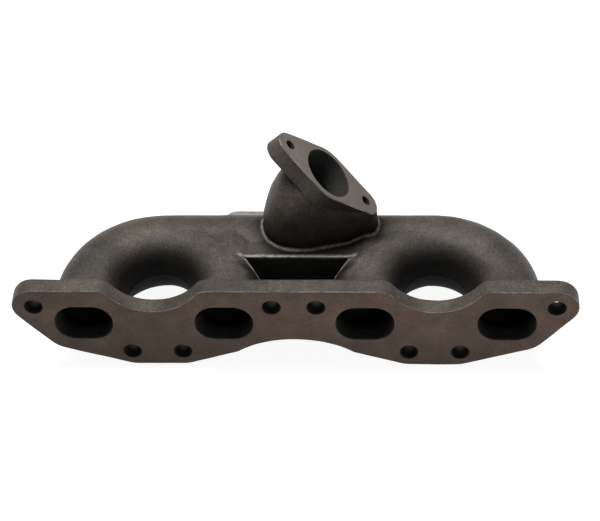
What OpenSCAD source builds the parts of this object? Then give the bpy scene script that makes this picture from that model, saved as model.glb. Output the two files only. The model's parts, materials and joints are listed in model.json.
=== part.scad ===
// Cast-iron log exhaust manifold for an inline four-cylinder engine.
// X runs along the engine, +Y points away from the cylinder head and +Z is up.
// The origin is on the head flange's face, midway between the middle ports.

/* [Head flange] */
// Distance between neighbouring ports
port_pitch = 97; // [92:1:102]
// Width of a port
port_w = 40; // [34:1:42]
// Height of a port
port_h = 30; // [26:1:32]
// Corner radius of a port
port_corner = 14; // [6:1:14]
// Thickness of the head flange
plate_t = 13; // [10:0.5:16]
// Top edge above the port line
plate_top = 30.5; // [29:0.5:34]
// Lowest edge below the port line
plate_drop = 40; // [38:0.5:44]
// Diameter of the stud holes
stud_d = 12.5; // [10:0.5:13]
// Radius of the two scallops in the top edge
scallop_r = 36.5; // [32:0.5:40]
// Radius of the arch in the bottom edge
arch_r = 70; // [64:1:76]

/* [Log and runners] */
// Outer diameter of the log
log_d = 51; // [48:1:54]
// Wall thickness of the tubes
wall = 5; // [4:0.5:6]
// Distance of the log's axis behind the head flange's face
log_y = 86.5; // [82:0.5:92]
// Height of the log's axis above the port line
log_z = -12; // [-14:0.5:-8]
// Bend radius of the two outer runners, at the tube's axis
bend_r = 50.5; // [46:0.5:52]

/* [Wastegate] */
// Bore of the wastegate flange
gate_bore = 38.5; // [32:0.5:39]
// Outer diameter of the neck and of the flange's round middle
gate_d = 47; // [45:1:50]
// Distance between the two screws
gate_screw_pitch = 72.5; // [66:0.5:78]
// Radius of the flange's ends
gate_lobe_r = 11; // [9:0.5:12]
// Thickness of the wastegate flange
gate_t = 13; // [10:0.5:14]
// Tapping diameter of the two screw holes
gate_screw_d = 6.8; // [6.8:0.1:8.5]
// Sideways place of the neck's upright passage
gate_base_x = 0.5; // [-2:0.5:2]
// Height above the port line at which the passage starts to lean over
gate_base_z = 26.5; // [25:0.5:29]

/* [Turbocharger flange] */
// Length along the engine
turbo_w = 111; // [104:1:114]
// Depth away from the head
turbo_l = 74; // [70:1:78]
// Thickness of the plate
turbo_t = 11; // [10:0.5:12]
// Height of its face below the port line
turbo_drop = 44; // [43:0.5:48]
// Sideways place of its centre
turbo_x = -3; // [-4:0.5:0]
// Distance of its centre behind the head flange's face
turbo_y = 116; // [114:0.5:118]
// Stud spacing along the engine
turbo_stud_w = 87; // [84:1:90]
// Stud spacing away from the head
turbo_stud_l = 51; // [48:1:53]
// Tapping diameter of the stud holes
turbo_stud_d = 8.5; // [6.8:0.1:8.5]
// Width of the gas opening
turbo_port_w = 62; // [54:1:64]
// Depth of the gas opening
turbo_port_l = 42; // [38:1:44]

/* [Hidden] */
$fn = 96;

iron = "#3b3734";
machined = "#5b4f49";
over = 1;                                // how far a cutter runs past a face

// Head flange
hole_z = 15.5;                           // height of the four upper stud holes
outer_hole_x = 178.7;
middle_hole_x = 15.2;
low_hole_z = -27.4;
low_hole_outer_x = 114.1;
low_hole_inner_x = 78.7;
end_r = plate_top - hole_z;              // rounded end around an outer hole
foot_r = 20;                             // corners of the flat bottom edge
foot_inner_x = 79;
foot_outer_x = 111;
foot_z = foot_r - plate_drop;
shoulder_r = 22;                         // corner between foot and rounded end
shoulder = [153, -4.6];
arch_top = -15.2;                        // underside of the plate at mid-length
slope_x = 40.5;                          // where the arch meets the straight slope
slope_z = -28.1;
slope_turn = 19;                         // how steeply the slope runs down to a foot
scallop_x = port_pitch;
scallop_low = 11.2;                      // lowest point of a scallop
scallop_lip_r = 12;                      // rounding of a scallop's two lips
scallop_lip_bite = 0.05;                 // the roundings cross the scallop, so no sliver is left

// Tubes
log_r = log_d / 2;
bore_r = log_r - wall;
inner_r = log_r - 0.5;                   // the inner runners are slightly slimmer
inner_bore_r = bore_r - 0.5;
outer_x = 1.5 * port_pitch;
inner_x = 0.5 * port_pitch;
bend_x = outer_x - bend_r;               // where an outer bend ends and the log starts
bend_y = log_y - bend_r;                 // where an outer bend starts
centre_half = 23;                        // half length of the log's middle section
slice = 0.2;

// Nut pocket between the two inner runners
pocket_back_y = 56;
pocket_top_z = 10;
pocket_floor_z = -14;
pocket_half_back = 39;
pocket_half_front = 22;
pocket_corner_y = 42;
web_t = 5;

// Wastegate flange, leaning 45 degrees towards +X
gate_tilt = 45;
gate_r = gate_d / 2;
gate_bend_r = 32;
gate_lead = 5;                           // straight run between the bend and the flange
gate_x = gate_base_x + gate_bend_r * (1 - cos(gate_tilt)) + (gate_lead + gate_t) * sin(gate_tilt);
gate_z = gate_base_z + gate_bend_r * sin(gate_tilt) + (gate_lead + gate_t) * cos(gate_tilt);
gate_lobe_x = gate_x + gate_screw_pitch / 2 * cos(gate_tilt);
gate_joint = gate_bend_r * tan(gate_tilt / 4);
gate_joint_1 = [gate_base_x, gate_base_z + gate_joint];
gate_joint_2 = gate_joint_1 + 2 * gate_joint * [sin(gate_tilt / 2), cos(gate_tilt / 2)];
gate_mitre = 5;                          // how far the passage's straight runs overlap
gate_waist = (gate_joint_1 + gate_joint_2) / 2;
gate_core_d = gate_bore + 1.5;           // cast passage, before the flange is bored
gate_waist_r = 22.5;                     // neck's outside half-way round the bend
gate_screw_deep = 24;                    // depth of the lower screw hole, which runs on into the neck
gate_heel = 16;                          // how far the neck backs the flange's upper end
gate_shoulder_z = 28;                    // top of the neck's upright base
gate_toe_r = 9.5;                        // neck's end below the flange's lower end
gate_toe_z = 16;

// Turbocharger flange
turbo_face_z = -turbo_drop;
turbo_top_z = turbo_face_z + turbo_t;
turbo_corner_r = 9;
turbo_port_r = 14;
stud_depth = 9;                          // the tapped holes are blind
hood_turn = 47;                          // where the hood leaves the log, in degrees of its round
hood_y = log_y + log_r * cos(hood_turn);
hood_z = log_z + log_r * sin(hood_turn);
hood_rear_gap = 3.5;                     // bare strip of plate behind the hood
hood_wall = 6;

// ---- Shared shapes ----

// Convex outline around discs [x, y, r], listed anticlockwise
module disc_chain(discs) {
    n = len(discs);
    for (d = discs) {
        translate([d[0], d[1]])
            circle(r = d[2]);
    }
    polygon([
        for (i = [0:n - 1])
            for (p = tangent(discs[i], discs[(i + 1) % n]))
                p
    ]);
}

// The two touch points of the right-hand outer tangent from disc a to disc b
function tangent(a, b) =
    let (
        d = norm([b[0] - a[0], b[1] - a[1]]),
        along = atan2(b[1] - a[1], b[0] - a[0]),
        turn = along - acos((a[2] - b[2]) / d)
    )
    [
        [a[0] + a[2] * cos(turn), a[1] + a[2] * sin(turn)],
        [b[0] + b[2] * cos(turn), b[1] + b[2] * sin(turn)]
    ];

module round_rect(w, h, r) {
    square([w - 2 * r, h], center = true);
    square([w, h - 2 * r], center = true);
    for (sx = [-1, 1], sy = [-1, 1]) {
        translate([sx * (w / 2 - r), sy * (h / 2 - r)])
            circle(r = r);
    }
}

// Extrudes an X-Z outline from y0 to y1
module along_y(y0, y1) {
    translate([0, y1, 0])
        rotate([90, 0, 0])
            linear_extrude(height = y1 - y0)
                children();
}

// Extrudes a Y-Z outline from x0 to x1
module along_x(x0, x1) {
    translate([x0, 0, 0])
        rotate([90, 0, 90])
            linear_extrude(height = x1 - x0)
                children();
}

module log_rod(x0, x1, r) {
    along_x(x0, x1)
        translate([log_y, log_z])
            circle(r = r);
}

// ---- Head flange ----

module plate_half() {
    disc_chain([
        [foot_inner_x, foot_z, foot_r],
        [foot_outer_x, foot_z, foot_r],
        [shoulder[0], shoulder[1], shoulder_r],
        [outer_hole_x, hole_z, end_r]
    ]);
    polygon([
        [0, plate_top],
        [0, slope_z],
        [slope_x, slope_z],
        [foot_inner_x - foot_r * sin(slope_turn), foot_z - foot_r * cos(slope_turn)],
        [foot_inner_x, foot_z],
        [outer_hole_x, hole_z],
        [outer_hole_x, plate_top]
    ]);
}

module scallop() {
    mid_z = scallop_low + scallop_r;
    lip_z = plate_top - scallop_lip_r;
    reach = scallop_r + scallop_lip_r - scallop_lip_bite;
    lip_dx = sqrt(pow(reach, 2) - pow(mid_z - lip_z, 2));
    translate([scallop_x, mid_z])
        circle(r = scallop_r);
    difference() {
        polygon([
            [scallop_x - lip_dx, lip_z],
            [scallop_x, mid_z],
            [scallop_x + lip_dx, lip_z],
            [scallop_x + lip_dx, mid_z],
            [scallop_x - lip_dx, mid_z]
        ]);
        for (s = [-1, 1]) {
            translate([scallop_x + s * lip_dx, lip_z])
                circle(r = scallop_lip_r);
        }
    }
}

module head_flange() {
    color(machined)
        difference() {
            along_y(0, plate_t)
                difference() {
                    union() {
                        plate_half();
                        mirror([1, 0])
                            plate_half();
                    }
                    scallop();
                    mirror([1, 0])
                        scallop();
                    translate([0, arch_top - arch_r])
                        circle(r = arch_r);
                }
            for (x = [-outer_x, -inner_x, inner_x, outer_x]) {
                along_y(-over, plate_t + over)
                    translate([x, 0])
                        round_rect(port_w, port_h, port_corner);
            }
            for (x = [outer_hole_x, middle_hole_x], s = [-1, 1]) {
                stud_hole(s * x, hole_z);
            }
            for (x = [low_hole_outer_x, low_hole_inner_x], s = [-1, 1]) {
                stud_hole(s * x, low_hole_z);
            }
        }
}

module stud_hole(x, z) {
    translate([x, -over, z])
        rotate([-90, 0, 0])
            cylinder(d = stud_d, h = plate_t + 2 * over);
}

// ---- Port necks: from the oblong port to the round tube ----

module neck_loft(x, grow, r, reach = 0) {
    hull() {
        along_y(plate_t - reach, plate_t + slice)
            translate([x, 0])
                round_rect(port_w + 2 * grow, port_h + 2 * grow, port_corner + grow, $fn = 32);
        along_y(bend_y - slice, bend_y + reach)
            translate([x, log_z])
                circle(r = r, $fn = 32);
    }
}

module port_neck(x, r, r_in) {
    color(iron)
        difference() {
            neck_loft(x, wall, r);
            neck_loft(x, 0, r_in, over);
        }
}

module port_neck_1() {
    port_neck(-outer_x, log_r, bore_r);
}

module port_neck_2() {
    port_neck(-inner_x, inner_r, inner_bore_r);
}

module port_neck_3() {
    port_neck(inner_x, inner_r, inner_bore_r);
}

module port_neck_4() {
    port_neck(outer_x, log_r, bore_r);
}

// ---- Runners ----

// Quarter bend from the port neck to the end of the log, on the -X side
module outer_bend() {
    color(iron)
        translate([-bend_x, bend_y, log_z])
            rotate([0, 0, 90])
                rotate_extrude(angle = 90)
                    translate([bend_r, 0])
                        difference() {
                            circle(r = log_r);
                            circle(r = bore_r);
                        }
}

module inner_rod(side, r) {
    translate([side * inner_x, bend_y, log_z])
        rotate([-90, 0, 0])
            cylinder(r = r, h = log_y - bend_y);
}

module inner_rod_bore(side) {
    translate([side * inner_x, bend_y - over, log_z])
        rotate([-90, 0, 0])
            cylinder(r = inner_bore_r, h = log_y - bend_y + over);
}

module inner_runner(side) {
    color(iron)
        difference() {
            inner_rod(side, inner_r);
            inner_rod_bore(side);
            log_rod(-bend_x, bend_x, log_r);
        }
}

module runner_1() {
    outer_bend();
}

module runner_2() {
    inner_runner(-1);
}

module runner_3() {
    inner_runner(1);
}

module runner_4() {
    mirror([1, 0, 0])
        outer_bend();
}

// ---- Log ----

module log_side(side) {
    x0 = min(side * centre_half, side * bend_x);
    x1 = max(side * centre_half, side * bend_x);
    color(iron)
        difference() {
            log_rod(x0, x1, log_r);
            log_rod(x0 - over, x1 + over, bore_r);
            inner_rod_bore(side);
            turbo_stud(side, -1);
        }
}

module log_left() {
    log_side(-1);
}

module log_right() {
    log_side(1);
}

module gate_riser(z0, z1) {
    translate([gate_base_x, log_y, z0])
        cylinder(d = gate_core_d, h = z1 - z0);
}

module log_centre() {
    color(iron)
        difference() {
            log_rod(-centre_half, centre_half, log_r);
            log_rod(-centre_half - over, centre_half + over, bore_r);
            gate_riser(log_z, log_z + log_d);
            turbo_mouth();
        }
}

// ---- Nut pocket ----

module pocket_plan() {
    polygon([
        [-pocket_half_front, plate_t - over],
        [pocket_half_front, plate_t - over],
        [pocket_half_front, pocket_corner_y],
        [pocket_half_back, pocket_back_y],
        [-pocket_half_back, pocket_back_y],
        [-pocket_half_front, pocket_corner_y]
    ]);
}

module nut_pocket() {
    color(iron)
        difference() {
            translate([-inner_x, plate_t, pocket_floor_z - web_t])
                cube([port_pitch, log_y - plate_t, pocket_top_z - pocket_floor_z + web_t]);
            translate([0, 0, pocket_floor_z])
                linear_extrude(height = pocket_top_z - pocket_floor_z + over)
                    pocket_plan();
            for (x = [-inner_x, inner_x]) {
                neck_loft(x, wall, inner_r);
            }
            for (side = [-1, 1]) {
                inner_rod(side, inner_r);
            }
            log_rod(-bend_x, bend_x, log_r);
        }
}

// ---- Turbocharger side ----

module turbo_rect(w, l, r, z0, z1) {
    translate([turbo_x, turbo_y, z0])
        linear_extrude(height = z1 - z0)
            round_rect(w, l, r);
}

// Passage from the log's middle section into the hood
module turbo_mouth() {
    translate([-centre_half + over, log_y, turbo_top_z])
        cube([2 * (centre_half - over), log_r + over, -turbo_top_z - hood_wall]);
}

module hood_outline(drop) {
    polygon([
        [hood_y, hood_z - drop],
        [turbo_y + turbo_l / 2 - hood_rear_gap - drop, turbo_top_z],
        [turbo_y - turbo_l / 2 + hood_rear_gap, turbo_top_z],
        [turbo_y - turbo_l / 2 + hood_rear_gap, log_z],
        [hood_y - 2 * hood_wall, log_z]
    ]);
}

module turbo_collector() {
    x0 = turbo_x - turbo_w / 2 + over;
    x1 = turbo_x + turbo_w / 2 - over;
    color(iron)
        difference() {
            along_x(x0, x1)
                hood_outline(0);
            log_rod(-bend_x, bend_x, log_r);
            intersection() {
                turbo_rect(turbo_port_w, turbo_port_l, turbo_port_r, turbo_top_z - over, 0);
                along_x(x0, x1)
                    translate([0, -over])
                        hood_outline(hood_wall);
            }
        }
}

module turbo_stud(sx, sy) {
    translate([turbo_x + sx * turbo_stud_w / 2, turbo_y + sy * turbo_stud_l / 2, turbo_face_z - over])
        cylinder(d = turbo_stud_d, h = stud_depth + over);
}

module turbo_flange() {
    color(machined)
        difference() {
            turbo_rect(turbo_w, turbo_l, turbo_corner_r, turbo_face_z, turbo_top_z);
            turbo_rect(turbo_port_w, turbo_port_l, turbo_port_r, turbo_face_z - over, turbo_top_z + over);
            log_rod(-bend_x, bend_x, log_r);
            for (sx = [-1, 1], sy = [-1, 1]) {
                turbo_stud(sx, sy);
            }
        }
}

// ---- Wastegate side ----

// Places a shape drawn with +Z along the flange's axis and +X down its slope
module at_gate() {
    translate([gate_x, log_y, gate_z])
        rotate([0, gate_tilt, 0])
            children();
}

// One straight run of the passage, from [x, z] and leaning by an angle towards +X
module gate_run(from, lean, length) {
    translate([from[0], log_y, from[1]])
        rotate([0, lean, 0])
            translate([0, 0, -gate_mitre])
                cylinder(d = gate_core_d, h = length + 2 * gate_mitre);
}

module gate_passage() {
    gate_riser(log_z, gate_joint_1[1] + gate_mitre);
    gate_run(gate_joint_1, gate_tilt / 2, 2 * gate_joint);
    gate_run(gate_joint_2, gate_tilt, gate_joint + gate_lead);
}

// Drafted block from the log's top to the back of the flange
module gate_body() {
    hull() {
        translate([gate_base_x, log_y, log_z])
            cylinder(r = gate_r, h = gate_shoulder_z - log_z, $fn = 48);
        translate([gate_lobe_x, log_y, log_z])
            cylinder(r = gate_toe_r, h = gate_toe_z - log_z, $fn = 32);
        translate([gate_waist[0], log_y, gate_waist[1]])
            rotate([0, gate_tilt / 2, 0])
                cylinder(r = gate_waist_r, h = slice, $fn = 48);
        at_gate()
            translate([0, 0, -gate_t - slice])
                linear_extrude(height = slice) {
                    circle(r = gate_r, $fn = 48);
                    translate([-gate_heel, 0])
                        circle(r = gate_lobe_r, $fn = 32);
                    translate([gate_screw_pitch / 2, 0])
                        circle(r = gate_toe_r, $fn = 32);
                }
    }
}

module wastegate_neck() {
    color(iron)
        difference() {
            gate_body();
            gate_passage();
            gate_screw(1, gate_screw_deep);
            log_rod(-bend_x, bend_x, log_r);
        }
}

module gate_screw(side, depth) {
    at_gate()
        translate([side * gate_screw_pitch / 2, 0, -depth])
            cylinder(d = gate_screw_d, h = depth + over);
}

module wastegate_flange() {
    color(machined)
        difference() {
            at_gate()
                translate([0, 0, -gate_t])
                    linear_extrude(height = gate_t)
                        gate_outline();
            at_gate()
                translate([0, 0, -gate_t - over])
                    cylinder(d = gate_bore, h = gate_t + 2 * over);
            for (side = [-1, 1]) {
                gate_screw(side, gate_screw_deep);
            }
        }
}

module gate_outline() {
    for (s = [-1, 1]) {
        disc_chain([
            [0, 0, gate_r],
            [s * gate_screw_pitch / 2, 0, gate_lobe_r]
        ]);
    }
}

head_flange();
port_neck_1();
port_neck_2();
port_neck_3();
port_neck_4();
runner_1();
runner_2();
runner_3();
runner_4();
log_left();
log_right();
log_centre();
nut_pocket();
turbo_collector();
turbo_flange();
wastegate_neck();
wastegate_flange();
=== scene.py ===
"""Log exhaust manifold for an inline four: one iron casting with three machined flanges.

The casting is one continuous skin. It is worked out as a distance field around the CAD bodies, turned into a
mesh, machined flat at its three flanges, and parted along the CAD nodes. Lengths in the field are millimetres.
"""

import json
import math

import bmesh
import bpy
import numpy as np
import openvdb
from mathutils import Matrix, Vector
from mathutils.geometry import delaunay_2d_cdt


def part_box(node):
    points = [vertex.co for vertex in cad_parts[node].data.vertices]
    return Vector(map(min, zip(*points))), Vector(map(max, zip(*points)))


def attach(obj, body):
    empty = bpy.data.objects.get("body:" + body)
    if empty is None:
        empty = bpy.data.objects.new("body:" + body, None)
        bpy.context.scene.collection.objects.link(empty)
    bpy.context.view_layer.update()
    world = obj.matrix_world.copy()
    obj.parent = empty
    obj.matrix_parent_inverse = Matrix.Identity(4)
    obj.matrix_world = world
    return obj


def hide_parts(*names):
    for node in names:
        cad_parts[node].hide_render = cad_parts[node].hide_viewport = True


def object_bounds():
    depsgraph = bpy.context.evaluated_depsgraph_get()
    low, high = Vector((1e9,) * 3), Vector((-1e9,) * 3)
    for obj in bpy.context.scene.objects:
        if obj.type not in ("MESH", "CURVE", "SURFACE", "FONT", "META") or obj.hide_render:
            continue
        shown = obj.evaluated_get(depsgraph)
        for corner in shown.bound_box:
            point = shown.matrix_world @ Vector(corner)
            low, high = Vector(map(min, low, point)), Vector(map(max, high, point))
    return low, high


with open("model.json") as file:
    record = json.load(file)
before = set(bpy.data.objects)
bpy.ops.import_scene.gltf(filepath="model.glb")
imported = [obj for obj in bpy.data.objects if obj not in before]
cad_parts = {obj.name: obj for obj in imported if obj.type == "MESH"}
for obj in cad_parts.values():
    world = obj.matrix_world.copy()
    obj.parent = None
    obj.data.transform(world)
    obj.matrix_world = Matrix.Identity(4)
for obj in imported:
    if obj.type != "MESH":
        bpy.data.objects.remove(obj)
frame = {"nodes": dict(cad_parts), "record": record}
cad_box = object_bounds()

MM = 0.001
VOXEL = 1.0            # spacing of the field, mm
MARGIN = 5.0           # how far the field reaches past the CAD box, mm
DRILL_TAPER = 0.035    # how much a stud hole narrows for each millimetre of depth
PROUD = 3.0            # stock that stands past a machined face before it is cut, mm
WALL = 5.0             # iron round the gas passages, mm

# Fillets of the cast skin, mm
RUNNER_FILLET = 16.0   # where a runner meets the log
PASSAGE_FILLET = 10.0  # the same inside, in the gas passages
FLANGE_FILLET = 9.0    # behind the head flange, and along the hood's sides
WEB_FILLET = 7.0       # round the web between the inner runners
PLATE_FILLET = 5.0     # on top of the turbo flange
RIB_FILLET = 3.0       # along the nut pocket's rim
NECK_FILLET = 2.5      # at the neck's foot
GATE_FILLET = 1.5      # under the wastegate flange
NO_FILLET = 0.001
SIDE_BY_SIDE = 0.6     # surfaces less apart than this lose their fillet gradually

PARTING_WIDTH, PARTING_HEIGHT = 0.8, 0.55    # flash line where the mould's halves met, mm
HOOD_TURN = math.radians(47)                 # where the hood's sloping top leaves the log, from level
BEAD = 1.0                                   # radius of the bead round the neck's foot, mm
SEAT_R, SEAT_DEEP = 10.5, 16.0               # spot faces for the studs' nuts, mm
HEAD_CHAMFER, TURBO_CHAMFER, GATE_CHAMFER = 0.45, 0.5, 0.45    # broken edges of the machined faces, mm


# ---- Camera, at the photograph's angle ----

VIEW_DISTANCE = 1331.44         # mm from the lens to the plane through the aim point
VIEW_ELEVATION = math.radians(43.31)
VIEW_AZIMUTH = math.radians(4.13)
VIEW_ROLL = math.radians(-2.72)
VIEW_AIM = Vector((5.99, 0.0, 59.79))

forward = Vector((
    -math.sin(VIEW_AZIMUTH) * math.cos(VIEW_ELEVATION),
    math.cos(VIEW_AZIMUTH) * math.cos(VIEW_ELEVATION),
    -math.sin(VIEW_ELEVATION)))
level = forward.cross(Vector((0, 0, 1))).normalized()
upward = level.cross(forward)
right = math.cos(VIEW_ROLL) * level + math.sin(VIEW_ROLL) * upward
top = math.cos(VIEW_ROLL) * upward - math.sin(VIEW_ROLL) * level
camera_data = bpy.data.cameras.new("camera")
camera_data.lens = 120.0
camera_data.sensor_width = 36.0
camera_data.sensor_fit = "HORIZONTAL"
camera_data.clip_start, camera_data.clip_end = 0.1, 30.0
camera = bpy.data.objects.new("camera", camera_data)
bpy.context.scene.collection.objects.link(camera)
turn = Matrix((right, top, -forward)).transposed().to_4x4()
camera.matrix_world = Matrix.Translation((VIEW_AIM - VIEW_DISTANCE * forward) * MM) @ turn
bpy.context.scene.camera = camera


# ---- Sizes, from the CAD nodes ----

def span(node):
    """Lowest and highest corner of a CAD node, in millimetres."""
    lo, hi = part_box(node)
    return np.array(lo) / MM, np.array(hi) / MM


def mount(name):
    return next(m for m in frame["record"]["mounts"] if m["name"] == name)


plate_t = span("head_flange")[1][1]
bend_y = span("port_neck_1")[1][1]
log_lo, log_hi = span("log_left")
log_r = (log_hi[2] - log_lo[2]) / 2
log_z = (log_hi[2] + log_lo[2]) / 2
outer_lo, outer_hi = span("runner_4")
bend_x = outer_lo[0]
log_y = outer_hi[1] - log_r
bend_r = outer_hi[0] - log_r - bend_x
outer_x = bend_x + bend_r
inner_lo, inner_hi = span("runner_3")
inner_x = (inner_lo[0] + inner_hi[0]) / 2
inner_r = (inner_hi[0] - inner_lo[0]) / 2
web_lo, web_hi = span("nut_pocket")
centre_half = span("log_centre")[1][0]
turbo_lo, turbo_hi = span("turbo_flange")
hood_lo, hood_hi = span("turbo_collector")
gate_centre = np.array(mount("wastegate_screws")["pos_m"]) / MM
gate_axis = np.array(mount("wastegate_screws")["axis"])
gate_pitch = mount("wastegate_screws")["dims"]["pcd_mm"]
gate_bore_r = mount("wastegate_bore")["dims"]["r_mm"]
gate_t = mount("wastegate_bore")["dims"]["length_mm"]
gate_slope = np.array([gate_axis[2], 0.0, -gate_axis[0]])


# ---- Field helpers ----

class Field:
    """A block of distances on a regular grid."""

    def __init__(self, lo, hi, step):
        self.lo = np.floor(np.array(lo) / step) * step
        self.shape = np.ceil((np.array(hi) - self.lo) / step).astype(int) + 1
        self.step = step
        axes = [(self.lo[i] + step * np.arange(self.shape[i])).astype(np.float32) for i in range(3)]
        self.x = axes[0][:, None, None]
        self.y = axes[1][None, :, None]
        self.z = axes[2][None, None, :]

    def full(self, values):
        return np.broadcast_to(values, self.shape).astype(np.float32)

    def sample(self, values, points):
        """Values at points, in between grid places."""
        at = (points - self.lo) / self.step
        base = np.clip(np.floor(at).astype(int), 0, self.shape - 2)
        part = at - base
        out = np.zeros(len(points), np.float32)
        for corner in range(8):
            pick = np.array([corner >> 2 & 1, corner >> 1 & 1, corner & 1])
            weight = np.prod(np.where(pick, part, 1 - part), axis=1)
            i, j, k = (base + pick).T
            out += weight * values[i, j, k]
        return out


def smooth(t):
    t = np.clip(t, 0, 1)
    return t * t * (3 - 2 * t)


def apart(a, b):
    """0 where two surfaces run side by side, and 1 where they cross squarely."""
    return 1 - sum(p * q for p, q in zip(np.gradient(a), np.gradient(b)))


def join(a, b, fillet):
    """Union with a fillet of that radius where the two surfaces cross, and none where they run together."""
    lower = np.minimum(a, b)
    near = np.abs(lower) < fillet * 2
    turn = np.zeros_like(lower)
    for axis in range(3):
        turn += np.gradient(a, axis=axis) * np.gradient(b, axis=axis)
    turn = np.clip(1 - turn / grid.step ** 2, 0, 1)
    u = np.maximum(fillet - a, 0)
    v = np.maximum(fillet - b, 0)
    rounded = np.maximum(fillet, lower) - np.hypot(u, v)
    return np.where(near, lower + turn * (rounded - lower), lower)


def box_2d(u, v, half_u, half_v, corner):
    du = np.abs(u) - half_u + corner
    dv = np.abs(v) - half_v + corner
    return np.hypot(np.maximum(du, 0), np.maximum(dv, 0)) + np.minimum(np.maximum(du, dv), 0) - corner


def slab(outline, w, low, high, corner):
    """An outline's distance, given thickness from low to high, with its edges rounded."""
    across = np.abs(w - (low + high) / 2) - (high - low) / 2 + corner
    inner = outline + corner
    return np.hypot(np.maximum(inner, 0), np.maximum(across, 0)) + np.minimum(
        np.maximum(inner, across), 0) - corner


# ---- Outlines of the machined faces, from the CAD nodes ----

def face_loops(node, origin, along, across):
    """Closed outlines of a node's flat face through origin, longest first, as points on along and across."""
    normal = Vector(np.cross(along, across))
    bm = bmesh.new()
    bm.from_mesh(frame["nodes"][node].data)
    off = [
        f for f in bm.faces
        if abs(f.normal.dot(normal)) < 0.999 or abs((f.calc_center_median() / MM - Vector(origin)).dot(normal)) > 0.05
    ]
    bmesh.ops.delete(bm, geom=off, context="FACES")
    bmesh.ops.remove_doubles(bm, verts=bm.verts, dist=0.02 * MM)
    rim = {e for e in bm.edges if len(e.link_faces) == 1}
    loops = []
    while rim:
        edge = rim.pop()
        start, here = edge.verts
        loop = [start, here]
        while here != start:
            edge = next(e for e in here.link_edges if e in rim)
            rim.remove(edge)
            here = edge.other_vert(here)
            loop.append(here)
        places = [np.array(v.co) / MM - origin for v in loop[:-1]]
        loops.append(np.array([(p @ along, p @ across) for p in places]))
    bm.free()
    return sorted(loops, key=lambda loop: -np.ptp(loop, axis=0).max())


def loop_distance(loop, u, v):
    """Signed distance to a closed outline, negative inside it."""
    best = np.full(np.broadcast(u, v).shape, 1e9, np.float32)
    inside = np.zeros(best.shape, bool)
    for (au, av), (bu, bv) in zip(loop, np.roll(loop, -1, axis=0)):
        eu, ev = bu - au, bv - av
        length = eu * eu + ev * ev
        if length < 1e-9:
            continue
        t = np.clip(((u - au) * eu + (v - av) * ev) / length, 0, 1)
        best = np.minimum(best, np.hypot(u - au - t * eu, v - av - t * ev))
        if av != bv:
            inside ^= ((av > v) != (bv > v)) & (u < au + eu * (v - av) / ev)
    return np.where(inside, -best, best)


def gate_plane(loop):
    """Distance to an outline on the wastegate flange's slanting plane."""
    flat_u = np.arange(-70, 70.5, 0.5, dtype=np.float32)
    flat_v = np.arange(-45, 45.5, 0.5, dtype=np.float32)
    table = loop_distance(loop, flat_u[:, None], flat_v[None, :])
    u = np.clip((gate_u + 70) / 0.5, 0, len(flat_u) - 1.001)
    v = np.clip((grid.y - gate_centre[1] + 45) / 0.5, 0, len(flat_v) - 1.001)
    i, j = u.astype(int), v.astype(int)
    s, t = u - i, v - j
    return ((1 - s) * (1 - t) * table[i, j] + s * (1 - t) * table[i + 1, j]
            + (1 - s) * t * table[i, j + 1] + s * t * table[i + 1, j + 1])


# ---- The casting's field ----

grid = Field(np.array(cad_box[0]) / MM - MARGIN, np.array(cad_box[1]) / MM + MARGIN, VOXEL)
X, Y, Z = grid.x, grid.y, grid.z
AX = np.abs(X)
gate_u = (X - gate_centre[0]) * gate_slope[0] + (Z - gate_centre[2]) * gate_slope[2]
gate_w = (X - gate_centre[0]) * gate_axis[0] + (Z - gate_centre[2]) * gate_axis[2]

x_axis, y_axis, z_axis = np.eye(3)
head_loops = face_loops("head_flange", np.zeros(3), x_axis, z_axis)
head_rim, port_loops, stud_loops = head_loops[0], head_loops[1:5], head_loops[5:]
turbo_loops = face_loops("turbo_flange", np.array([0, 0, turbo_lo[2]]), x_axis, y_axis)
gate_loops = face_loops("wastegate_flange", gate_centre, gate_slope, y_axis)


def rod_along_x(y, z, r):
    return np.hypot(Y - y, Z - z) - r


def neck_to_tube(port, x, tube_r, grow):
    """A runner's first stretch: the port's outline at the flange, turning into the round tube."""
    t = smooth((Y - plate_t + 4) / (bend_y - plate_t + 4))
    return (1 - t) * (port - grow) + t * (np.hypot(X - x, Z - log_z) - tube_r)


def tubes(ports, thin):
    """Log and runners, grown inwards by thin to give the gas passages."""
    grow = WALL - thin
    away = np.hypot(AX - bend_x, Y - bend_y) - bend_r
    bend = np.hypot(away, Z - log_z) - log_r + thin
    log = grid.full(rod_along_x(log_y, log_z, log_r - thin))
    outer = np.minimum(*(neck_to_tube(ports[i], s * outer_x, log_r - thin, grow) for i, s in ((0, -1), (3, 1))))
    inner = np.minimum(*(neck_to_tube(ports[i], s * inner_x, inner_r - thin, grow) for i, s in ((1, -1), (2, 1))))
    side = np.where(Y < bend_y, outer, bend)
    main = np.where(AX > bend_x, side, log)
    main = np.where((AX <= bend_x) & (Y < bend_y), grid.full(1e3), main)
    main = np.minimum(main, np.maximum(outer, Y - bend_y))
    # the inner runners sweep outwards into the log, so each arch has a round crown
    sweep_x = inner_x + bend_r
    sweep = np.hypot(np.hypot(AX - sweep_x, Y - bend_y) - bend_r, Z - log_z) - inner_r + thin
    sweep = np.maximum(sweep, np.maximum(AX - sweep_x, bend_y - Y))
    straight = np.maximum(inner, Y - log_y)
    return main, np.minimum(straight, grid.full(sweep))


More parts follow.
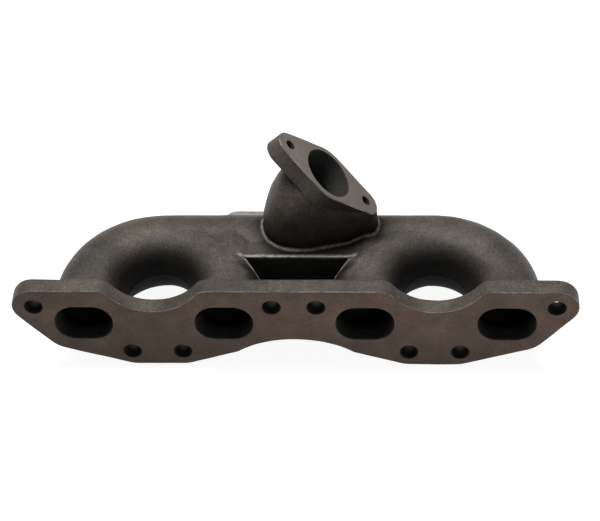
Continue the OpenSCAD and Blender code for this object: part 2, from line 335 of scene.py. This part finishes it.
def low_noise(seed, spacing, amount):
    """Gentle unevenness, as a coarse random block drawn out smoothly over the grid."""
    rng = np.random.default_rng(seed)
    coarse = [int(n * grid.step / spacing) + 4 for n in grid.shape]
    block = rng.standard_normal(coarse).astype(np.float32)
    for axis in range(3):
        at = np.arange(grid.shape[axis]) * grid.step / spacing + 0.5
        i = at.astype(int)
        t = smooth(at - i).astype(np.float32)
        shape = [1, 1, 1]
        shape[axis] = -1
        t = t.reshape(shape)
        block = np.take(block, i, axis) * (1 - t) + np.take(block, i + 1, axis) * t
    return amount * block


def hull_planes(rings):
    bm = bmesh.new()
    for ring in rings:
        for p in ring:
            bm.verts.new(p)
    bmesh.ops.convex_hull(bm, input=bm.verts)
    planes = {tuple(np.round([*f.normal, f.normal.dot(f.verts[0].co)], 4)) for f in bm.faces}
    bm.free()
    middle = np.mean([p for ring in rings for p in ring], axis=0)
    return [p if np.dot(p[:3], middle) < p[3] else tuple(-c for c in p) for p in planes]


def ring(centre, half_x, half_y, lean=0.0, count=40):
    """A closed ellipse of points, leaning towards +X by an angle."""
    out = []
    for i in range(count):
        a = 2 * math.pi * i / count
        u, v = half_x * math.cos(a), half_y * math.sin(a)
        out.append((centre[0] + u * math.cos(lean), log_y + v, centre[1] - u * math.sin(lean)))
    return out


tilt = math.atan2(gate_axis[0], gate_axis[2])
elbow_r = 32.0                        # bend radius of the neck's passage
elbow_lead = 5.0                      # its straight run below the flange
elbow_z = gate_centre[2] - (gate_t + elbow_lead) * math.cos(tilt) - elbow_r * math.sin(tilt)
elbow_x = gate_centre[0] - (gate_t + elbow_lead) * math.sin(tilt) + elbow_r * math.cos(tilt)
neck_r = 23.5
neck_foot_r = 26.0
lobe_r = 11.0
foot_z = -6.0


def elbow_at(angle):
    return elbow_x - elbow_r * math.cos(angle), elbow_z + elbow_r * math.sin(angle)


def neck_body():
    base = elbow_x - elbow_r
    toe = gate_centre[0] + gate_pitch / 2 * math.cos(tilt), gate_centre[2] - gate_pitch / 2 * math.sin(tilt)
    under = gate_centre[0] - gate_t * math.sin(tilt), gate_centre[2] - gate_t * math.cos(tilt)
    heel = under[0] - 16 * math.cos(tilt), under[1] + 16 * math.sin(tilt)
    rings = [
        ring((base, foot_z), neck_foot_r, neck_foot_r - 2.6),
        ring((base, 14), neck_foot_r, neck_foot_r - 2.6),
        ring((base, elbow_z), neck_foot_r - 1, neck_foot_r - 2.8),
        ring((toe[0], foot_z), lobe_r * math.cos(tilt) + 0.7, lobe_r + 0.5),
        ring(toe, lobe_r, lobe_r, tilt),
        ring(heel, lobe_r - 1, lobe_r - 1, tilt),
        ring(under, neck_r, neck_r, tilt),
    ]
    for step in range(1, 5):
        angle = tilt * step / 4
        rings.append(ring(elbow_at(angle), neck_r, neck_r, angle))
    out = grid.full(-1e3)
    low = [int((v - lo) / grid.step) for v, lo in zip((-45, 50, -12), grid.lo)]
    high = [int((v - lo) / grid.step) for v, lo in zip((75, 125, 85), grid.lo)]
    part = tuple(slice(a, b) for a, b in zip(low, high))
    x, y, z = X[part[0]], Y[:, part[1]], Z[:, :, part[2]]
    near = np.full(np.broadcast(x, y, z).shape, -1e3, np.float32)
    for a, b, c, d in hull_planes(rings):
        near = np.maximum(near, a * x + b * y + c * z - d)
    out[:] = 20
    out[part] = near
    return out


pocket_back = 56.0
pocket_floor = web_lo[2] + WALL


def pocket_plan():
    """The nut pocket from above: straight sides that open out at 45 degrees towards the log."""
    half = 22 + np.clip(Y - 42, 0, None) * 17 / 14
    return np.maximum((AX - half) * 0.75, np.maximum(Y - pocket_back, plate_t - Y))


def pocket_void():
    return slab(pocket_plan(), Z, pocket_floor, 60, 3.0)


ports_2d = [loop_distance(loop, X, Z) for loop in sorted(port_loops, key=lambda loop: loop[:, 0].mean())]
rim_2d = loop_distance(head_rim, X, Z)
studs_2d = np.minimum.reduce([loop_distance(loop, X, Z) for loop in stud_loops])
stud_centres = [loop.mean(axis=0) for loop in stud_loops]

main, inner = tubes(ports_2d, 0.0)
# the fillet between runner and log fades out where the two run side by side
fillet = smooth(apart(main, inner) / SIDE_BY_SIDE)
fillet = fillet * (1 - smooth((AX - 72) / 14)) * (1 - smooth((Y - log_y + 10) / 8)) + NO_FILLET
casting = join(main, inner, RUNNER_FILLET * fillet)
parting = np.exp(-((Z - log_z) / PARTING_WIDTH) ** 2) * smooth((Y - 20) / 10)
casting = casting - PARTING_HEIGHT * parting

web_low = -10.0
web = box_2d(AX, Z - (web_lo[2] + web_low) / 2, inner_x, (web_low - web_lo[2]) / 2, 1.0)
web = np.maximum(grid.full(web), np.maximum(plate_t - 6 - Y, Y - log_y))
casting = join(casting, web, WEB_FILLET)
back = box_2d(AX, Y - (pocket_back - 1 + log_y) / 2, 43.0, (log_y - pocket_back + 1) / 2, 2.0)
back = np.maximum(grid.full(back), np.maximum(web_lo[2] - Z, Z - web_hi[2]))
casting = join(casting, back, WEB_FILLET)
rib_top = web_hi[2] - 1.1 * np.clip(pocket_back - Y, 0, 18)
rib = np.maximum(pocket_plan() - 2.2, np.maximum(web_lo[2] - Z, Z - rib_top))
casting = join(casting, grid.full(rib), RIB_FILLET)

plate = grid.full(slab(rim_2d, Y, -PROUD - 2, plate_t, 1.6))
casting = join(casting, plate, FLANGE_FILLET)

slope_y = hood_hi[1] - (log_y + log_r * math.cos(HOOD_TURN))
slope_z = turbo_hi[2] - hood_hi[2]
slope_long = math.hypot(slope_y, slope_z)
slope_d = ((Y - hood_hi[1]) * -slope_z + (Z - turbo_hi[2]) * slope_y) / slope_long
# the hood starts where its sloping top leaves the log
along = ((Y - log_y) * slope_y + (Z - log_z) * slope_z) / slope_long
hood = np.maximum(slope_d, np.maximum(-along, turbo_hi[2] - 1 - Z))
hood = slab(grid.full(hood), X, hood_lo[0], hood_hi[0], 7.0)
fade = smooth(apart(casting, hood) / SIDE_BY_SIDE)
casting = join(casting, hood, FLANGE_FILLET * fade * smooth(along / 10) + NO_FILLET)

turbo_rim = loop_distance(turbo_loops[0], X, Y)
turbo_plate = grid.full(slab(turbo_rim, Z, turbo_lo[2] - PROUD - 2, turbo_hi[2], 1.5))
casting = join(casting, turbo_plate, PLATE_FILLET)

neck = neck_body()
seam = np.hypot(neck, casting)
casting = join(casting, neck, NECK_FILLET)
casting = np.minimum(casting, seam - BEAD)
gate_rim = gate_plane(gate_loops[0])
gate_plate = slab(gate_rim, gate_w, -gate_t, PROUD, 1.0)
casting = join(casting, grid.full(gate_plate), GATE_FILLET)

casting = casting + low_noise(7, 9.0, 0.10) + low_noise(8, 26.0, 0.18)

pocket = pocket_void()
solid = casting
casting = np.maximum(casting, -pocket)
for cx, cz in stud_centres:
    seat = np.maximum(np.hypot(X - cx, Z - cz) - SEAT_R, np.maximum(plate_t - Y, Y - plate_t - SEAT_DEEP))
    casting = np.maximum(casting, -grid.full(seat))
main_in, inner_in = tubes(ports_2d, WALL)
gas = join(main_in, inner_in, PASSAGE_FILLET * fillet)
riser = np.hypot(X - elbow_x + elbow_r, Y - log_y) - gate_bore_r
riser = np.maximum(riser, np.maximum(log_z - Z, Z - elbow_z))
elbow = np.hypot(np.hypot(X - elbow_x, Z - elbow_z) - elbow_r, Y - log_y) - gate_bore_r
elbow = np.maximum(elbow, np.maximum(elbow_z - Z, gate_w + gate_t + elbow_lead))
elbow = np.maximum(elbow, X - elbow_x)
bore = np.maximum(np.hypot(gate_u, Y - log_y) - gate_bore_r, -gate_t - elbow_lead - gate_w)
gas = np.minimum(gas, grid.full(np.minimum(riser, elbow)))
gas = np.minimum(gas, grid.full(bore))
mouth = slab(grid.full(loop_distance(turbo_loops[1], X, Y)), Z, turbo_lo[2] - 20, turbo_hi[2] + 14, 5.0)
mouth = np.maximum(mouth, slope_d + 6)
throat = slab(box_2d(X, Y - log_y - 12, centre_half - 1, 20, 6), Z, turbo_hi[2], log_z + 6, 4.0)
gas = np.minimum(gas, np.minimum(mouth, grid.full(throat)))
holes = grid.full(np.maximum(studs_2d + DRILL_TAPER * Y, Y - plate_t - 8))
for loop in gate_loops[2:]:
    holes = np.minimum(holes, np.maximum(gate_plane(loop), -gate_t - 1 - gate_w))
for loop in turbo_loops[2:]:
    blind = np.maximum(loop_distance(loop, X, Y), Z - turbo_lo[2] - 9)
    holes = np.minimum(holes, grid.full(blind))
casting = np.maximum(casting, -gas)
casting = np.maximum(casting, -holes)


# ---- From field to machined mesh ----

def field_mesh(values):
    vdb = openvdb.FloatGrid()
    vdb.background = 3.0
    vdb.copyFromArray(np.ascontiguousarray(np.clip(values, -3, 3)))
    points, _, quads = vdb.convertToPolygons(isovalue=0.0, adaptivity=0.0)
    return points * grid.step + grid.lo, quads


points, quads = field_mesh(casting)
mesh = bpy.data.meshes.new("casting")
mesh.from_pydata(points.tolist(), [], quads.tolist())
mesh.update()
bm = bmesh.new()
bm.from_mesh(mesh)
if bm.calc_volume(signed=True) < 0:
    bmesh.ops.reverse_faces(bm, faces=bm.faces)


def cap(bm, rim, normal):
    """Fills closed outlines that lie on one plane, leaving their holes open."""
    along = normal.orthogonal().normalized()
    across = normal.cross(along)
    verts = list({v for e in rim for v in e.verts})
    number = {v: i for i, v in enumerate(verts)}
    flat = [Vector((v.co.dot(along), v.co.dot(across))) for v in verts]
    pairs = [(number[e.verts[0]], number[e.verts[1]]) for e in rim]
    places, _, triangles, source, _, _ = delaunay_2d_cdt(flat, pairs, [], 0, 1e-7)
    level = verts[0].co.dot(normal)
    own = []
    for place, given in zip(places, source):
        if given:
            own.append(verts[given[0]])
        else:
            own.append(bm.verts.new(along * place[0] + across * place[1] + normal * level))
    flat = np.array(flat)
    starts, ends = flat[np.array(pairs)].transpose(1, 0, 2)
    middles = np.array([np.mean([places[i] for i in t], axis=0) for t in triangles])
    inside = np.zeros(len(middles), bool)
    for (au, av), (bu, bv) in zip(starts, ends):
        if av != bv:
            u, v = middles.T
            inside ^= ((av > v) != (bv > v)) & (u < au + (bu - au) * (v - av) / (bv - av))
    for t, keep in zip(triangles, inside):
        c = [own[i] for i in t]
        if keep:
            bm.faces.new(c if (c[1].co - c[0].co).cross(c[2].co - c[0].co).dot(normal) > 0 else c[::-1])


def machine(bm, stock, origin, normal, chamfer):
    """Cuts a flat face across the given faces and breaks its edges with a small chamfer."""
    origin, normal = Vector(origin), Vector(normal)
    near = {x for f in stock for x in (f, *f.edges, *f.verts)}
    bmesh.ops.bisect_plane(
        bm, geom=list(near), plane_co=origin - normal * chamfer, plane_no=normal, clear_outer=True, dist=1e-5)
    rim = [e for e in bm.edges if len(e.link_faces) == 1]
    bmesh.ops.remove_doubles(bm, verts=list({v for e in rim for v in e.verts}), dist=0.3)
    rim = [e for e in bm.edges if len(e.link_faces) == 1]
    bm.normal_update()
    beside = {}
    for e in rim:
        for v in e.verts:
            beside.setdefault(v, []).append(e.other_vert(v))
    lean = {}
    for v, others in beside.items():
        last, following = others[0], others[-1]
        out = sum((f.normal for f in v.link_faces), Vector())
        side = (last.co - following.co).cross(normal).normalized()
        lean[v] = side if side.dot(out) > 0 else -side
    made = bmesh.ops.extrude_edge_only(bm, edges=rim)["geom"]
    lifted = {v for v in made if isinstance(v, bmesh.types.BMVert)}
    for v in lifted:
        below = next(e.other_vert(v) for e in v.link_edges if e.other_vert(v) in lean)
        v.co = below.co + (normal - lean[below]) * chamfer
    edges = [e for e in made if isinstance(e, bmesh.types.BMEdge) and lifted.issuperset(e.verts)]
    cap(bm, edges, normal)


def beyond(bm, axis, level):
    """Faces that reach past a level along an axis."""
    return [f for f in bm.faces if max(v.co.dot(Vector(axis)) for v in f.verts) > level]


machine(bm, beyond(bm, (0, -1, 0), -2), (0, 0, 0), (0, -1, 0), HEAD_CHAMFER)
machine(bm, beyond(bm, (0, 0, -1), -turbo_lo[2] - 2), (0, 0, turbo_lo[2]), (0, 0, -1), TURBO_CHAMFER)
gate_level = float(gate_centre @ gate_axis)
stock = [f for f in beyond(bm, tuple(gate_axis), gate_level - 2) if min(v.co.y for v in f.verts) > log_y - log_r]
stock = [f for f in stock if min(v.co.z for v in f.verts) > log_z + log_r + 6]
machine(bm, stock, tuple(gate_centre), tuple(gate_axis), GATE_CHAMFER)
bmesh.ops.delete(bm, geom=[v for v in bm.verts if not v.link_faces], context="VERTS")
bmesh.ops.delete(bm, geom=[e for e in bm.edges if not e.link_faces], context="EDGES")
bmesh.ops.recalc_face_normals(bm, faces=bm.faces)
bm.to_mesh(mesh)
bm.free()


# ---- Parting the casting along the CAD nodes ----

def block(lo, hi, place=Matrix.Identity(4)):
    """A box mesh between two corners, for parting the casting."""
    bm = bmesh.new()
    bmesh.ops.create_cube(bm, size=1.0)
    middle = [(a + b) / 2 for a, b in zip(lo, hi)]
    size = [b - a for a, b in zip(lo, hi)]
    bmesh.ops.transform(
        bm, matrix=place @ Matrix.Translation(middle) @ Matrix.Diagonal((*size, 1.0)), verts=bm.verts)
    mesh = bpy.data.meshes.new("block")
    bm.to_mesh(mesh)
    bm.free()
    return mesh


work = bpy.data.objects.new("work", mesh)
tool = bpy.data.objects.new("tool", mesh)
for o in (work, tool):
    bpy.context.scene.collection.objects.link(o)


def part(body, region, operation):
    """A mesh cut by a region: its share inside (INTERSECT) or what is left (DIFFERENCE)."""
    work.data, tool.data = body, region
    cut = work.modifiers.new("part", "BOOLEAN")
    cut.object, cut.operation, cut.solver = tool, operation, "MANIFOLD"
    bpy.context.view_layer.update()
    out = bpy.data.meshes.new_from_object(work.evaluated_get(bpy.context.evaluated_depsgraph_get()))
    work.modifiers.remove(cut)
    return out


FAR = 400.0
gate_place = Matrix((
    (gate_slope[0], 0, gate_axis[0], gate_centre[0]),
    (0, 1, 0, gate_centre[1]),
    (gate_slope[2], 0, gate_axis[2], gate_centre[2]),
    (0, 0, 0, 1)))
neck_low = 14.0
REGIONS = {
    "head_flange": block((-FAR, -FAR, -FAR), (FAR, plate_t, FAR)),
    "wastegate_flange": block((-54, -60, -gate_t), (50, 60, FAR), gate_place),
    "wastegate_neck": block((-36, 50, neck_low), (64, 130, FAR)),
    "turbo_flange": block((-62, 78, -FAR), (56, FAR, turbo_hi[2])),
    "turbo_collector": block((-62, 104, -FAR), (56, FAR, FAR)),
    "runner_1": block((-FAR, bend_y, -FAR), (-bend_x, FAR, FAR)),
    "runner_4": block((bend_x, bend_y, -FAR), (FAR, FAR, FAR)),
    "port_neck_1": block((-FAR, -FAR, -FAR), (-2 * inner_x, FAR, FAR)),
    "port_neck_4": block((2 * inner_x, -FAR, -FAR), (FAR, FAR, FAR)),
    "log_left": block((-FAR, log_y - log_r, -FAR), (-centre_half, FAR, FAR)),
    "log_right": block((centre_half, log_y - log_r, -FAR), (FAR, FAR, FAR)),
    "log_centre": block((-FAR, log_y - log_r, -FAR), (FAR, FAR, FAR)),
    "nut_pocket": block((-web_hi[0], -FAR, -FAR), (web_hi[0], FAR, FAR)),
    "port_neck_2": block((-FAR, -FAR, -FAR), (0, bend_y, FAR)),
    "port_neck_3": block((0, -FAR, -FAR), (FAR, bend_y, FAR)),
    "runner_2": block((-FAR, -FAR, -FAR), (0, FAR, FAR)),
}
shares = {}
rest = mesh
for node, region in REGIONS.items():
    shares[node] = part(rest, region, "INTERSECT")
    rest = part(rest, region, "DIFFERENCE")
shares["runner_3"] = rest
bpy.data.objects.remove(work)
bpy.data.objects.remove(tool)


# ---- Materials ----

class Nodes:
    """A short way to build a material's nodes."""

    def __init__(self, name):
        self.material = bpy.data.materials.new(name)
        self.material.use_nodes = True
        self.tree = self.material.node_tree
        self.shader = self.tree.nodes["Principled BSDF"]
        self.place = self.add("ShaderNodeTexCoord").outputs["Object"]

    def add(self, kind, **inputs):
        node = self.tree.nodes.new(kind)
        for key, value in inputs.items():
            self.feed(node.inputs[key.replace("_", " ")], value)
        return node

    def feed(self, socket, value):
        if isinstance(value, bpy.types.NodeSocket):
            self.tree.links.new(value, socket)
        else:
            socket.default_value = value

    def noise(self, size, detail=3.0, roughness=0.55):
        """Noise whose features are about size millimetres across."""
        node = self.add(
            "ShaderNodeTexNoise", Vector=self.place, Scale=1 / (size * MM), Detail=detail, Roughness=roughness)
        return node.outputs["Fac"]

    def attribute(self, name):
        node = self.add("ShaderNodeAttribute")
        node.attribute_name = name
        return node.outputs["Fac"]

    def math(self, operation, a, b=0.0, c=0.0, clamp=False):
        node = self.add("ShaderNodeMath")
        node.operation, node.use_clamp = operation, clamp
        for socket, value in zip(node.inputs, (a, b, c)):
            self.feed(socket, value)
        return node.outputs[0]

    def ramp(self, value, *stops):
        node = self.add("ShaderNodeValToRGB", Fac=value)
        band = node.color_ramp
        while len(band.elements) < len(stops):
            band.elements.new(0.5)
        for element, (at, colour) in zip(band.elements, stops):
            element.position = at
            element.color = (*colour, 1.0) if isinstance(colour, tuple) else (colour,) * 3 + (1.0,)
        return node.outputs["Color"]

    def mix(self, share, a, b):
        node = self.add("ShaderNodeMix")
        node.data_type = "RGBA"
        for socket, value in zip((node.inputs[0], node.inputs[6], node.inputs[7]), (share, a, b)):
            self.feed(socket, value)
        return node.outputs[2]

    def multiply(self, a, b):
        node = self.add("ShaderNodeMix")
        node.data_type, node.blend_type = "RGBA", "MULTIPLY"
        for socket, value in zip((node.inputs[0], node.inputs[6], node.inputs[7]), (1.0, a, b)):
            self.feed(socket, value)
        return node.outputs[2]

    def along(self, axis, low, high):
        """0 to 1 from low to high, in metres, along one of the object's axes."""
        parts = self.add("ShaderNodeSeparateXYZ", Vector=self.place)
        return self.add(
            "ShaderNodeMapRange", Value=parts.outputs[axis], From_Min=low, From_Max=high).outputs["Result"]

    def bump(self, height, strength, distance, normal=None):
        node = self.add("ShaderNodeBump", Height=height, Strength=strength, Distance=distance * MM)
        if normal:
            self.feed(node.inputs["Normal"], normal)
        return node.outputs[0]

    def finish(self, colour, roughness, normal, metallic=0.0, specular=0.3):
        self.feed(self.shader.inputs["Base Color"], colour)
        self.feed(self.shader.inputs["Roughness"], roughness)
        self.feed(self.shader.inputs["Normal"], normal)
        self.shader.inputs["Metallic"].default_value = metallic
        self.shader.inputs["Specular IOR Level"].default_value = specular
        return self.material


def cast_skin():
    """As-cast iron: sandy grain, mottled oxide, painted shade in recesses, bare metal with painted highlights on
    proud edges and tops, and carbon black with painted shade in the passages, holes and nut pocket.
    """
    n = Nodes("cast_iron_skin")
    grain = n.noise(1.1, 4.0, 0.65)
    coarse = n.noise(3.4, 3.0, 0.6)
    mottle = n.noise(14.0, 4.0, 0.6)
    patch = n.noise(55.0, 3.0, 0.5)
    level = n.math("MULTIPLY_ADD", grain, 0.62, n.math("MULTIPLY", coarse, 0.20))
    level = n.math("ADD", level, n.math("MULTIPLY", mottle, 0.18))
    colour = n.ramp(
        level, (0.30, (0.040, 0.034, 0.029)), (0.46, (0.078, 0.068, 0.059)), (0.56, (0.112, 0.099, 0.087)),
        (0.72, (0.215, 0.195, 0.175)))
    tone = n.ramp(patch, (0.34, (0.72, 0.72, 0.73)), (0.66, (1.18, 1.13, 1.08)))
    colour = n.multiply(colour, tone)
    # painted shade: the open attribute darkens the colour in recesses, on downward faces, beside the nut pocket and
    # under the arches
    painted_shade = n.ramp(n.attribute("open"), (0.25, 0.08), (0.55, 0.30), (0.80, 0.66), (0.97, 1.0))
    colour = n.multiply(colour, painted_shade)
    # bare metal on the pocket's rim, the neck's bead and upward tops behind the log, also a painted highlight
    wear_and_highlight = n.math("MULTIPLY", n.attribute("bare"), n.ramp(coarse, (0.36, 0.50), (0.56, 1.0)), clamp=True)
    colour = n.mix(wear_and_highlight, colour, n.ramp(grain, (0.3, (0.42, 0.39, 0.36)), (0.7, (0.85, 0.81, 0.75))))
    black = n.ramp(coarse, (0.3, (0.030, 0.031, 0.030)), (0.7, (0.056, 0.055, 0.052)))
    # carbon black and painted shade in the gas passages; painted shade in the stud holes and the nut pocket
    colour = n.mix(n.attribute("soot_and_shade"), colour, black)
    rough = n.math("MULTIPLY_ADD", grain, -0.25, n.ramp(n.attribute("open"), (0.30, 0.98), (0.90, 0.66)))
    normal = n.bump(mottle, 0.30, 0.9)
    normal = n.bump(coarse, 0.42, 0.55, normal)
    normal = n.bump(grain, 0.55, 0.30, normal)
    return n.finish(colour, rough, normal, 0.15, 0.22)


def machined_face(name, dark, mid, light, stain, low=1.0, left=1.0):
    """A milled face that has dulled: fine grey-brown speckle, faint cutter marks and broad stains."""
    n = Nodes(name)
    speck = n.noise(0.8, 3.0, 0.7)
    cloud = n.noise(18.0, 4.0, 0.6)
    wide = n.noise(80.0, 2.0, 0.5)
    marks = n.noise(2.6, 2.0, 0.5)
    level = n.math("MULTIPLY_ADD", speck, 0.60, n.math("MULTIPLY", marks, 0.14))
    level = n.math("ADD", level, n.math("MULTIPLY", cloud, 0.26))
    colour = n.ramp(level, (0.36, dark), (0.50, mid), (0.66, light))
    colour = n.mix(n.ramp(wide, (0.42, 0.0), (0.70, 0.55)), colour, (*stain, 1.0))
    # the face is made darker towards its bottom and towards its left
    x, z = n.along(0, -0.19, 0.19), n.along(2, -0.04, 0.01)
    colour = n.multiply(colour, n.ramp(x, (0.2, left), (0.8, 1.0)))
    colour = n.multiply(colour, n.ramp(z, (0.0, low), (1.0, 1.0)))
    rough = n.math("MULTIPLY_ADD", cloud, -0.22, 0.62)
    normal = n.bump(speck, 0.25, 0.12, n.bump(marks, 0.18, 0.10))
    return n.finish(colour, rough, normal, 0.35)


def worn_edge_and_highlight():
    """The small chamfer round a machined face, where bare metal shows in places, also lightened as a painted
    highlight.
    """
    n = Nodes("worn_edge_and_highlight")
    grain = n.noise(1.2, 3.0, 0.6)
    run = n.noise(11.0, 3.0, 0.6)
    level = n.math("MULTIPLY_ADD", grain, 0.4, n.math("MULTIPLY", run, 0.6))
    colour = n.ramp(level, (0.36, (0.10, 0.085, 0.075)), (0.50, (0.24, 0.22, 0.20)), (0.62, (0.46, 0.43, 0.40)))
    return n.finish(colour, n.math("MULTIPLY_ADD", run, -0.3, 0.62), n.bump(grain, 0.3, 0.15), 0.5)


def floor_paint():
    n = Nodes("studio_floor")
    colour = n.ramp(n.noise(400.0, 2.0), (0.3, (0.36, 0.36, 0.36)), (0.7, (0.38, 0.38, 0.38)))
    n.shader.inputs["Emission Color"].default_value = (1, 1, 1, 1)
    n.shader.inputs["Emission Strength"].default_value = FLOOR_GLOW
    return n.finish(colour, 0.9, n.bump(n.noise(3.0), 0.02, 0.1))


FLOOR_GLOW = 0.92
SKIN = cast_skin()
HEAD = machined_face(
    "head_face", dark=(0.034, 0.020, 0.013), mid=(0.088, 0.053, 0.035), light=(0.170, 0.108, 0.074),
    stain=(0.062, 0.042, 0.031), low=0.60, left=0.74)
PADS = machined_face(
    "pad_face", dark=(0.150, 0.121, 0.102), mid=(0.213, 0.176, 0.152), light=(0.305, 0.258, 0.228),
    stain=(0.172, 0.145, 0.128))
EDGE = worn_edge_and_highlight()


# ---- Finishing each piece: skin normals, colour attributes (with painted shade and highlights), materials ----

slopes = [g.astype(np.float16) for g in np.gradient(casting)]
# REACH: how far out recesses are felt by the painted shade's occlusion estimate
REACH = (5.0, 11.0, 22.0)      # how far out the recesses are felt, mm
# carbon black and painted shade in the gas passages; painted shade in the stud holes and the nut pocket
soot_and_shade = smooth((1.4 - np.minimum(np.minimum(gas, holes + 0.8), pocket + 0.6)) / 1.2).astype(np.float16)
hollows = np.minimum(gas, holes).astype(np.float16)
# painted shade beside the nut pocket, on the runners' sides, and under the crowns of the arches
beside_pocket = smooth((pocket_plan() - 5) / 7)
pocket_arch_shade = 1 - 0.55 * (1 - beside_pocket) * smooth((54 - Y) / 8) * smooth((Y - plate_t) / 1.5)
arch = smooth((np.hypot(AX - (inner_x + outer_x) / 2, Y - bend_y) - 22) / 18)
pocket_arch_shade = pocket_arch_shade * (1 - 0.9 * (1 - arch) * smooth((Y - plate_t - 1) / 8))
pocket_arch_shade = grid.full(pocket_arch_shade).astype(np.float16)
# bare metal along the nut pocket's rim and the neck's bead, also lightened as a painted highlight
lip_wear_and_highlight = np.exp(-(np.hypot(pocket, solid) / 1.4) ** 4) * (Z > pocket_floor + 8) * smooth((Y - 40) / 8)
bead = np.exp(-(seam / 1.15) ** 4) * (Z < 40)
bare = np.maximum(lip_wear_and_highlight, bead).astype(np.float16)
MACHINED = {
    "head_flange": (-y_axis, 0.0, 1),
    "turbo_flange": (-z_axis, -turbo_lo[2], 2),
    "wastegate_flange": (gate_axis, gate_level, 2),
}
SKIN_TURN = math.cos(math.radians(38))


def read(items, key, width=1, kind=np.float32):
    """One property of all of a mesh's vertices, loops or faces, as an array."""
    values = np.empty(len(items) * width, kind)
    items.foreach_get(key, values)
    return values.reshape(-1, width) if width > 1 else values


def finish_piece(node, mesh):
    """Gives a piece its normals, attributes and materials, and puts it in its node's place."""
    count, faces = len(mesh.vertices), len(mesh.polygons)
    places = read(mesh.vertices, "co", 3)
    flat = read(mesh.polygons, "normal", 3)
    middles = read(mesh.polygons, "center", 3)
    corner_vert = read(mesh.loops, "vertex_index", kind=np.int32)
    corner_face = np.repeat(np.arange(faces), read(mesh.polygons, "loop_total", kind=np.int32))

    lean = np.stack([grid.sample(g, places) for g in slopes], axis=1)
    lean /= np.maximum(np.linalg.norm(lean, axis=1, keepdims=True), 1e-6)
    slot_of = np.zeros(faces, np.int32)
    if node in MACHINED:
        normal, level, face_slot = MACHINED[node]
        facing = flat @ normal
        height = middles @ normal - level
        slot_of[(facing > 0.999) & (np.abs(height) < 0.02)] = face_slot
        slot_of[(facing > 0.6) & (facing < 0.8) & (height < -0.01) & (height > -0.55)] = 3
    in_hole = grid.sample(hollows, middles) < 1.2
    slot_of[(slot_of == 3) & in_hole] = 0
    smooth_lean, face_lean = lean[corner_vert], flat[corner_face]
    agree = (smooth_lean * face_lean).sum(axis=1) > SKIN_TURN
    agree &= slot_of[corner_face] == 0
    normals = np.where(agree[:, None], smooth_lean, face_lean)

    # painted shade: darker in recesses (an occlusion estimate from the field) and on faces turned downwards; upward
    # faces behind the log are left light
    open_air_shade = np.zeros(count, np.float32)
    for reach in REACH:
        open_air_shade += np.clip(grid.sample(casting, places + lean * reach) / reach, 0, 1) / len(REACH)
    open_air_shade *= 0.55 + 0.45 * smooth((lean[:, 2] + 0.45) / 0.9)
    open_air_shade = np.maximum(open_air_shade, smooth((places[:, 1] - log_y - 6) / 10) * smooth(lean[:, 2] / 0.3))
    open_air_shade *= grid.sample(pocket_arch_shade, places)
    # painted light: upward faces behind the log are lightened
    painted_top_light = 0.4 * smooth((places[:, 1] - log_y - log_r - 1) / 2) * smooth((lean[:, 2] - 0.3) / 0.3)
    shown = {
        "soot_and_shade": grid.sample(soot_and_shade, places),
        "bare": np.maximum(grid.sample(bare, places), painted_top_light),
        "open": open_air_shade,
    }
    for name, values in shown.items():
        layer = mesh.attributes.new(name, "FLOAT", "POINT")
        layer.data.foreach_set("value", values)
    mesh.materials.clear()
    for material in (SKIN, HEAD, PADS, EDGE):
        mesh.materials.append(material)
    mesh.polygons.foreach_set("material_index", slot_of)
    mesh.polygons.foreach_set("use_smooth", np.ones(faces, bool))
    mesh.transform(Matrix.Scale(MM, 4))
    mesh.normals_split_custom_set(normals.tolist())
    piece = bpy.data.objects.new("cast_" + node, mesh)
    bpy.context.scene.collection.objects.link(piece)
    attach(piece, "root")
    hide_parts(node)


for node, mesh in shares.items():
    finish_piece(node, mesh)


# ---- Floor, light and world ----

floor_mesh = bpy.data.meshes.new("floor")
bm = bmesh.new()
bmesh.ops.create_grid(bm, x_segments=2, y_segments=2, size=8.0)
bm.to_mesh(floor_mesh)
bm.free()
floor = bpy.data.objects.new("floor", floor_mesh)
floor.location.z = turbo_lo[2] * MM - 0.0002
floor_mesh.materials.append(floor_paint())
bpy.context.scene.collection.objects.link(floor)


def soft_light(name, place, aim, size, power):
    light = bpy.data.lights.new(name, "AREA")
    light.shape, light.size, light.size_y, light.energy = "RECTANGLE", size[0], size[1], power
    lamp = bpy.data.objects.new(name, light)
    lamp.location = place
    lamp.rotation_euler = (Vector(aim) - Vector(place)).to_track_quat("-Z", "Y").to_euler()
    bpy.context.scene.collection.objects.link(lamp)


soft_light("overhead", (-0.15, 0.32, 1.25), (0, 0.08, 0), (1.0, 0.6), 19.0)
soft_light("front_fill", (0.5, -1.5, 0.9), (0, 0.05, 0), (1.2, 0.8), 2.4)

world = bpy.data.worlds.new("studio")
world.use_nodes = True
tree = world.node_tree
air = tree.nodes["Background"]
air.inputs["Color"].default_value = (1.0, 1.0, 1.0, 1.0)
seen = tree.nodes.new("ShaderNodeLightPath").outputs["Is Camera Ray"]
blend = tree.nodes.new("ShaderNodeMapRange")
tree.links.new(seen, blend.inputs["Value"])
blend.inputs["To Min"].default_value = 0.07
blend.inputs["To Max"].default_value = 1.0
tree.links.new(blend.outputs[0], air.inputs["Strength"])
bpy.context.scene.world = world
bpy.context.scene.view_settings.view_transform = "Standard"
bpy.context.scene.view_settings.look = "None"
